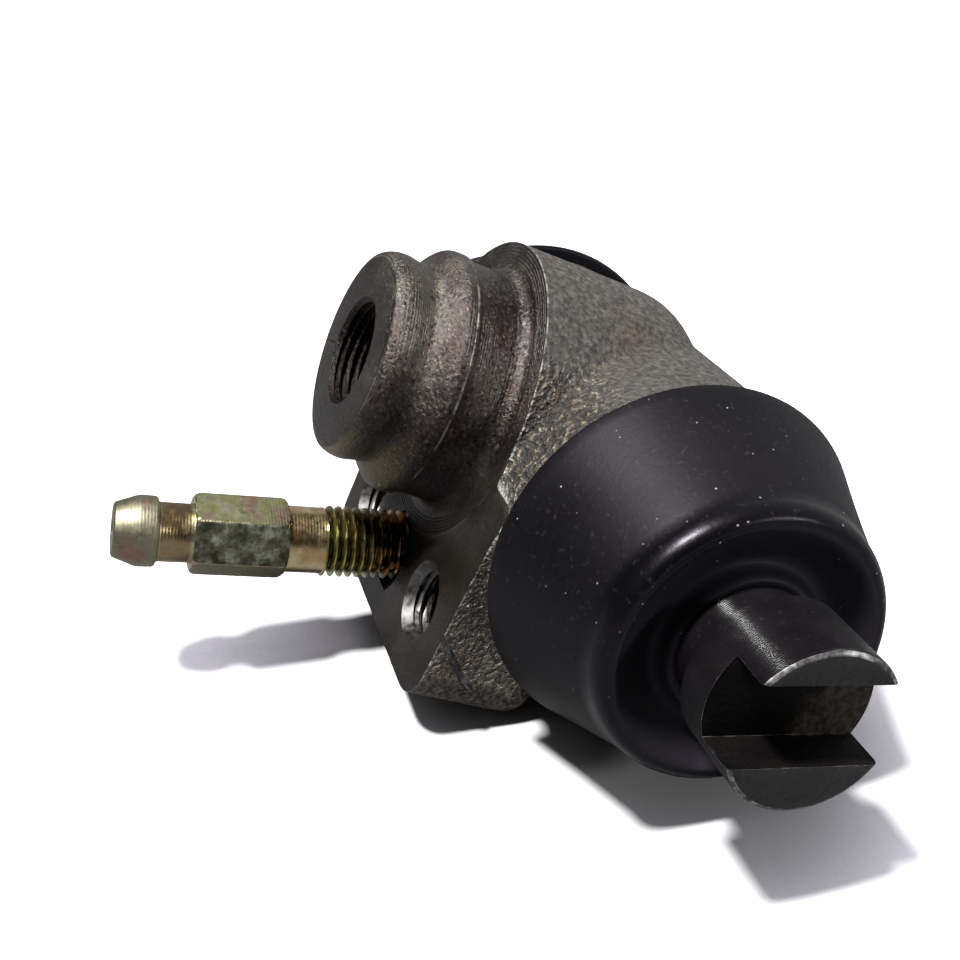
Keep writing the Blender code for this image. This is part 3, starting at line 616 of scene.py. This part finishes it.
    for s in (-1, 1):
        nose = [(s * BARREL_HALF, GROOVE_R), (s * (BARREL_HALF + GROOVE_W), GROOVE_R),
                (s * (BARREL_HALF + GROOVE_W), RIB_R), (s * (NOSE_END - 0.8), RIB_R),
                (s * NOSE_END, RIB_R - 0.8), (s * NOSE_END, 3),
                (s * (NOSE_END + 3), 3), (s * (NOSE_END + 3), 24), (s * BARREL_HALF, 24)]
        tools.append(lathe("tool_nose", nose, ALONG_BORE, 128, (BORED,), closed=True))
    tools.append(lathe("tool_bore", [(-40, 0), (-40, BORE_R), (40, BORE_R), (40, 0)],
                       ALONG_BORE, 128, (BORED,)))

    port = [(BOSS_H + 1, POINT_R), (BOSS_H + 1, 6.9), (BOSS_H - 0.5, 5.5)]
    rings = [circle(h, r, 96) for h, r in port]
    rings += [circle(h, r, 96) for h, r in thread(BOSS_H - 0.5, 2.6, *PORT_THREAD)]
    rings += [circle(h, r, 96) for h, r in ((2.4, 5.3), (0.2, 1.3), (-9, 1.3), (-9, POINT_R))]
    tools.append(rings_mesh("tool_port", rings, BOSS, (BORED,)))
    for s in (-1, 1):
        place = facing_out(s * BOLT_X, BOLT_Z)
        rings = [circle(h, r, 80) for h, r in ((1, POINT_R), (1, BOLT_RIM_R), (-0.95, 3.45))]
        rings += [circle(h, r, 80) for h, r in thread(-0.95, -10.4, *BOLT_THREAD)]
        rings += [circle(h, r, 80) for h, r in ((-10.5, 3.3), (-12.3, POINT_R))]
        tools.append(rings_mesh("tool_bolt", rings, place, (BRIGHT, BORED),
                                lambda k, i: 0 if k < BRIGHT_RINGS else 1))
    tools.append(lathe("tool_bleed", [(1, 0), (1, 5.3), (-0.3, 4.0), (-6.9, 4.0), (-9.7, 1.2),
                                      (-17.8, 1.2), (-17.8, 0)], BLEED, 80, (BORED,)))
    cut(body, tools)
    smooth(body, 35)
    body.name = "cast_body"
    return body


def done(ob, body, nodes):
    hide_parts(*nodes)
    if body is not None:
        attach(ob, body)


done(casting(), "casting", ["cylinder_body"])


# Bleed screw
def bleed_screw():
    sides = 192

    def hexagon(limit):
        def radius(a):
            off = (a + math.pi / 6) % (math.pi / 3) - math.pi / 6
            return min(limit, HEX_FLATS / 2 / math.cos(math.pi / 6 - abs(off)))
        return radius

    stack = [(-4.0, 1.0), (31.25, 1.0), (31.25, 2.75), (31.1, 2.97), (28.8, 3.82), (28.4, 3.875),
             (27.0, 3.84), (26.75, 3.72), (26.6, 3.3), (26.4, 3.24), (23.4, 3.22), (23.0, 3.3)]
    stack += [(23.0, hexagon(4.02)), (22.85, hexagon(4.28)), (22.55, hexagon(4.5)),
              (22.2, hexagon(HEX_CORNER_R)), (13.6, hexagon(HEX_CORNER_R)), (13.2, hexagon(4.48)),
              (12.95, hexagon(4.25)), (12.84, hexagon(4.02))]
    first_hex, hex_rings = 12, 7
    stack += [(12.84, 3.75), (12.5, 3.72), (9.2, 3.70), (8.75, 3.74)]
    stack += thread(8.6, -1.5, *SCREW_THREAD)
    stack += [(-1.6, 3.88), (-6.6, 3.88), (-8.4, 2.1)]
    rings = [circle(h, r, sides) for h, r in stack]

    def tag(k, i):
        # Two flats are tarnished and two greyed
        flat = int(i / (sides / 6))
        return {5: 1, 2: 1, 4: 2, 3: 2}.get(flat, 0) if 0 <= k - first_hex < hex_rings else 0
    spin = BLEED @ Matrix.Rotation(HEX_PHASE, 4, 'Z')
    ob = rings_mesh("bleed_screw_skin", rings, spin, (ZINC, ZINC_DULL, ZINC_GREY), tag)
    smooth(ob, 24)
    return ob


done(bleed_screw(), "bleeder", ["bleed_screw"])


# Boots: turned rubber with a rolled crest, a hollow front and a lip on the stem
def softened(points, rounds=2):
    """Cut the corners of an open profile so that it runs smoothly; its ends stay."""
    for _ in range(rounds):
        out = [points[0]]
        for (ah, ar), (bh, br) in zip(points, points[1:]):
            out += [(0.75 * ah + 0.25 * bh, 0.75 * ar + 0.25 * br),
                    (0.25 * ah + 0.75 * bh, 0.25 * ar + 0.75 * br)]
        points = out + [points[-1]]
    return points


def boot(side):
    rim = BARREL_HALF + 0.12
    p = [(rim, GROOVE_R + 0.05), (rim, 19.0)] + arc(rim + 0.45, 19.13, 0.45, 180, 78, 5)
    for k in range(1, 13):
        t = k / 12
        p.append((rim + 0.55 + (BOOT_CREST_AT - rim - 0.55) * t,
                  19.57 + (14.55 - 19.57) * t - 0.10 * math.sin(math.pi * t)))
    p += [(BOOT_CREST_AT + 2.2 * math.sin(math.radians(a)),
           BOOT_CREST_R + 1.4 * math.cos(math.radians(a)))
          for a in range(10, 100, 8)]
    p = p[:-1] + softened([p[-1], (39.8, 12.7), (39.45, 12.1), (38.9, 11.4), (38.3, 10.6),
                           (37.7, 9.7), (37.3, 8.9), (37.35, 8.2), (37.9, 7.75), (38.6, 7.5),
                           (39.0, 7.1), (38.9, BOOT_LIP_R)])
    p += [(35.4, BOOT_LIP_R), (34.5, 7.6), (34.5, 10.2), (35.6, 12.6), (30.9, 15.4),
          (29.2, 16.2), (26.3, 16.2), (26.3, GROOVE_R + 0.05)]
    turn = end_frame(side)
    ob = lathe("boot_skin_" + ("a" if side > 0 else "b"), p, turn, 144, (RUBBER,), closed=True)
    smooth(ob, 60)
    return ob


for label, side in (("a", 1), ("b", -1)):
    ob = boot(side)
    done(ob, None, ["boot_" + label])
    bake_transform(ob)


# Tappets: turned, then slotted; the edges are worn bright
def tappet(label, side):
    p = [(STEM_START, 0), (STEM_START, STEM_R - 0.6), (STEM_START + 0.6, STEM_R),
         (HEAD_BACK, STEM_R), (HEAD_BACK, HEAD_R - 0.3), (HEAD_BACK + 0.3, HEAD_R),
         (TAPPET_END - 0.6, HEAD_R)]
    edge = len(p) - 1
    p += [(TAPPET_END - 0.26, HEAD_R - 0.12), (TAPPET_END - 0.08, HEAD_R - 0.29),
          (TAPPET_END, HEAD_R - 0.5), (TAPPET_END, 0)]
    turn = end_frame(side)
    ob = lathe("tappet_skin_" + label, p, turn, 128, (STEEL, WORN, STEEL_END),
               tag=lambda k, i: 1 if edge + 1 <= k <= edge + 2 else (2 if k == edge + 3 else 0))
    slot = bmesh.new()
    bmesh.ops.create_cube(slot, size=1.0)
    place = (turn @ Matrix.Rotation(side * SLOT_TURN, 4, 'Z')
             @ Matrix.Translation(Vector((-SLOT_OFF, 0, TAPPET_END)) * MM)
             @ Matrix.Diagonal((SLOT_W * MM, 40 * MM, 2 * SLOT_D * MM, 1)))
    bmesh.ops.transform(slot, verts=slot.verts, matrix=place)
    cut(ob, [new_object("tool_slot", slot, (STEEL_SLOT_SHADE_AND_LIGHT,))])
    worn = ob.data.materials.find(WORN.name)
    bevel = ob.modifiers.new("wear", 'BEVEL')
    bevel.width, bevel.segments, bevel.limit_method = EDGE_WEAR * MM, 2, 'ANGLE'
    bevel.angle_limit, bevel.material, bevel.use_clamp_overlap = math.radians(50), worn, True
    applied(ob)
    smooth(ob, 30)
    return ob


for label, side in (("a", 1), ("b", -1)):
    done(tappet(label, side), "adjuster_" + label, ["tappet_" + label])

for node, material in (("piston_a", PISTON), ("piston_b", PISTON), ("seal_cup_a", RUBBER),
                       ("seal_cup_b", RUBBER), ("cup_expander_a", SPRING),
                       ("cup_expander_b", SPRING)):
    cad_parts[node].data.materials.clear()
    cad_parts[node].data.materials.append(material)


# Return spring: two halves that meet at the bore's middle
def spring_half(label, side):
    turns, steps = SPRING_TURNS + 2, 24
    live_pitch = 2 * (SPRING_SPAN - SPRING_DEAD_PITCH) / SPRING_TURNS
    path, x = [], -SPRING_SPAN
    for i in range(turns * steps + 1):
        a = math.tau * i / steps
        path.append(Vector((x, SPRING_R * math.cos(a), SPRING_R * math.sin(a))))
        dead = i < steps or i >= (turns - 1) * steps
        x += (SPRING_DEAD_PITCH if dead else live_pitch) / steps
    middle = len(path) // 2
    path = path[middle:] if side > 0 else path[:middle + 1]
    rings = []
    for k, point in enumerate(path):
        ahead = (path[min(k + 1, len(path) - 1)] - path[max(k - 1, 0)]).normalized()
        across = ahead.cross(Vector((0, point.y, point.z))).normalized()
        out = across.cross(ahead)
        rings.append([point + SPRING_WIRE_R * (math.cos(b) * out + math.sin(b) * across)
                      for b in (math.tau * j / 12 for j in range(12))])
    return rings_mesh("spring_half_" + label, rings, Matrix.Translation(CENTRE), (SPRING,))


for label, side in (("a", 1), ("b", -1)):
    ob = spring_half(label, side)
    done(ob, None, ["return_spring"])
    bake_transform(ob)


# Table, light and camera. The camera sees a white table and room, and the part is lit by less.
TABLE_SIZE = 1.2
TABLE_SEEN, TABLE_LIGHTING = (0.48, 0.48, 0.485), (0.05, 0.05, 0.055)
TABLE_MIRRORED = 0.34        # share of the seen tone that reflections get
GLOW, GLOW_TINT = 1.05, (0.91, 0.88, 1.0)
# Reach and steepness of the painted contact shadow on the table
CONTACT_REACH, CONTACT_POWER = 0.020, 4.0
PALE_WALL = Vector((-0.45, 0.75, 0.48)).normalized()


def add(nodes, kind, **settings):
    node = nodes.new("ShaderNode" + kind)
    for key, value in settings.items():
        setattr(node, key, value)
    return node


def table():
    bm = bmesh.new()
    bmesh.ops.create_grid(bm, x_segments=1, y_segments=1, size=TABLE_SIZE)
    mat = bpy.data.materials.new("table_white")
    mat.use_nodes = True
    nodes, links = mat.node_tree.nodes, mat.node_tree.links
    nodes.clear()
    path = add(nodes, "LightPath")
    paint = add(nodes, "BsdfDiffuse")
    tone = add(nodes, "Mix", data_type='RGBA')
    tone.inputs[6].default_value = (*TABLE_LIGHTING, 1)
    tone.inputs[7].default_value = (*TABLE_SEEN, 1)
    bright = add(nodes, "Math", operation='MULTIPLY_ADD')
    bright.inputs[1].default_value = TABLE_MIRRORED
    links.new(path.outputs["Is Glossy Ray"], bright.inputs[0])
    links.new(path.outputs["Is Camera Ray"], bright.inputs[2])
    links.new(bright.outputs[0], tone.inputs["Factor"])
    links.new(tone.outputs[2], paint.inputs["Color"])

    # A glow that only the camera sees; it fades close to the part, which paints a dark contact
    # shadow there
    glow = add(nodes, "Emission")
    glow.inputs["Color"].default_value = (*GLOW_TINT, 1)
    near = add(nodes, "AmbientOcclusion", samples=8)
    near.inputs["Distance"].default_value = CONTACT_REACH
    painted_contact_shadow = add(nodes, "Math", operation='POWER')
    painted_contact_shadow.inputs[1].default_value = CONTACT_POWER
    seen = add(nodes, "Math", operation='MULTIPLY')
    gain = add(nodes, "Math", operation='MULTIPLY')
    gain.inputs[1].default_value = GLOW
    links.new(near.outputs["AO"], painted_contact_shadow.inputs[0])
    links.new(painted_contact_shadow.outputs[0], seen.inputs[0])
    links.new(path.outputs["Is Camera Ray"], seen.inputs[1])
    links.new(seen.outputs[0], gain.inputs[0])
    links.new(gain.outputs[0], glow.inputs["Strength"])
    both = add(nodes, "AddShader")
    links.new(paint.outputs[0], both.inputs[0])
    links.new(glow.outputs[0], both.inputs[1])

    # Clear from below, so that the part can be seen from there
    clear = add(nodes, "BsdfTransparent")
    side = add(nodes, "NewGeometry")
    pick = add(nodes, "MixShader")
    links.new(side.outputs["Backfacing"], pick.inputs[0])
    links.new(both.outputs[0], pick.inputs[1])
    links.new(clear.outputs[0], pick.inputs[2])
    links.new(pick.outputs[0], add(nodes, "OutputMaterial").inputs["Surface"])
    ob = new_object("table", bm, (mat,))
    ob.rotation_mode = 'QUATERNION'
    ob.rotation_quaternion = TABLE_UP.to_track_quat('Z', 'Y')
    ob.location = CENTRE - TABLE_UP * TABLE_DEPTH


def lamp(name, direction, distance, size, power):
    data = bpy.data.lights.new(name, 'AREA')
    data.shape, data.size, data.energy = 'DISK', size, power
    ob = bpy.data.objects.new(name, data)
    bpy.context.scene.collection.objects.link(ob)
    ob.location = CENTRE + direction * distance
    ob.rotation_mode = 'QUATERNION'
    ob.rotation_quaternion = direction.to_track_quat('Z', 'Y')


def white_room():
    """White to the camera; to the part a faint ceiling, and in reflections a pale wall."""
    world = bpy.data.worlds.new("white_room")
    bpy.context.scene.world = world
    world.use_nodes = True
    nodes, links = world.node_tree.nodes, world.node_tree.links
    back = nodes["Background"]
    back.inputs["Color"].default_value = (1, 1, 1, 1)
    look = add(nodes, "TexCoord")
    path = add(nodes, "LightPath")

    def towards(direction, start, end, dim, bright):
        """Strength that rises as a ray turns towards a direction."""
        turn = add(nodes, "VectorMath", operation='DOT_PRODUCT')
        turn.inputs[1].default_value = direction
        links.new(look.outputs["Generated"], turn.inputs[0])
        rise = add(nodes, "MapRange", interpolation_type='SMOOTHSTEP')
        for i, value in enumerate((0.0, start, end, dim, bright)):
            rise.inputs[i].default_value = value
        links.new(turn.outputs["Value"], rise.inputs[0])
        return rise.outputs[0]
    ceiling = towards(TABLE_UP, 0.35, 0.97, 0.008, 0.10)
    wall = towards(PALE_WALL, 0.15, 0.90, 0.0, 0.60)
    both = add(nodes, "Math", operation='MULTIPLY_ADD')
    links.new(wall, both.inputs[0])
    links.new(path.outputs["Is Glossy Ray"], both.inputs[1])
    links.new(ceiling, both.inputs[2])
    show = add(nodes, "Math", operation='MAXIMUM')
    links.new(path.outputs["Is Camera Ray"], show.inputs[0])
    links.new(both.outputs[0], show.inputs[1])
    links.new(show.outputs[0], back.inputs["Strength"])


table()
lamp("key", KEY_DIR, distance=0.9, size=0.10, power=22.0)
lamp("fill", FILL_DIR, distance=0.9, size=0.10, power=2.6)
white_room()

camera = bpy.data.cameras.new("camera")
camera.lens, camera.sensor_width = 44.83, 36.0
camera.shift_x, camera.shift_y = 0.0058, -0.0021
camera.clip_start, camera.clip_end = 0.005, 10.0
view = bpy.data.objects.new("camera", camera)
bpy.context.scene.collection.objects.link(view)
right = CAM_DIR.cross(TABLE_UP).normalized()
up = right.cross(CAM_DIR)
turn = Matrix((right, up, -CAM_DIR)).transposed()
view.matrix_world = Matrix.Translation(CAM_POS) @ turn.to_4x4()
bpy.context.scene.camera = view
bpy.context.scene.view_settings.view_transform = 'Standard'
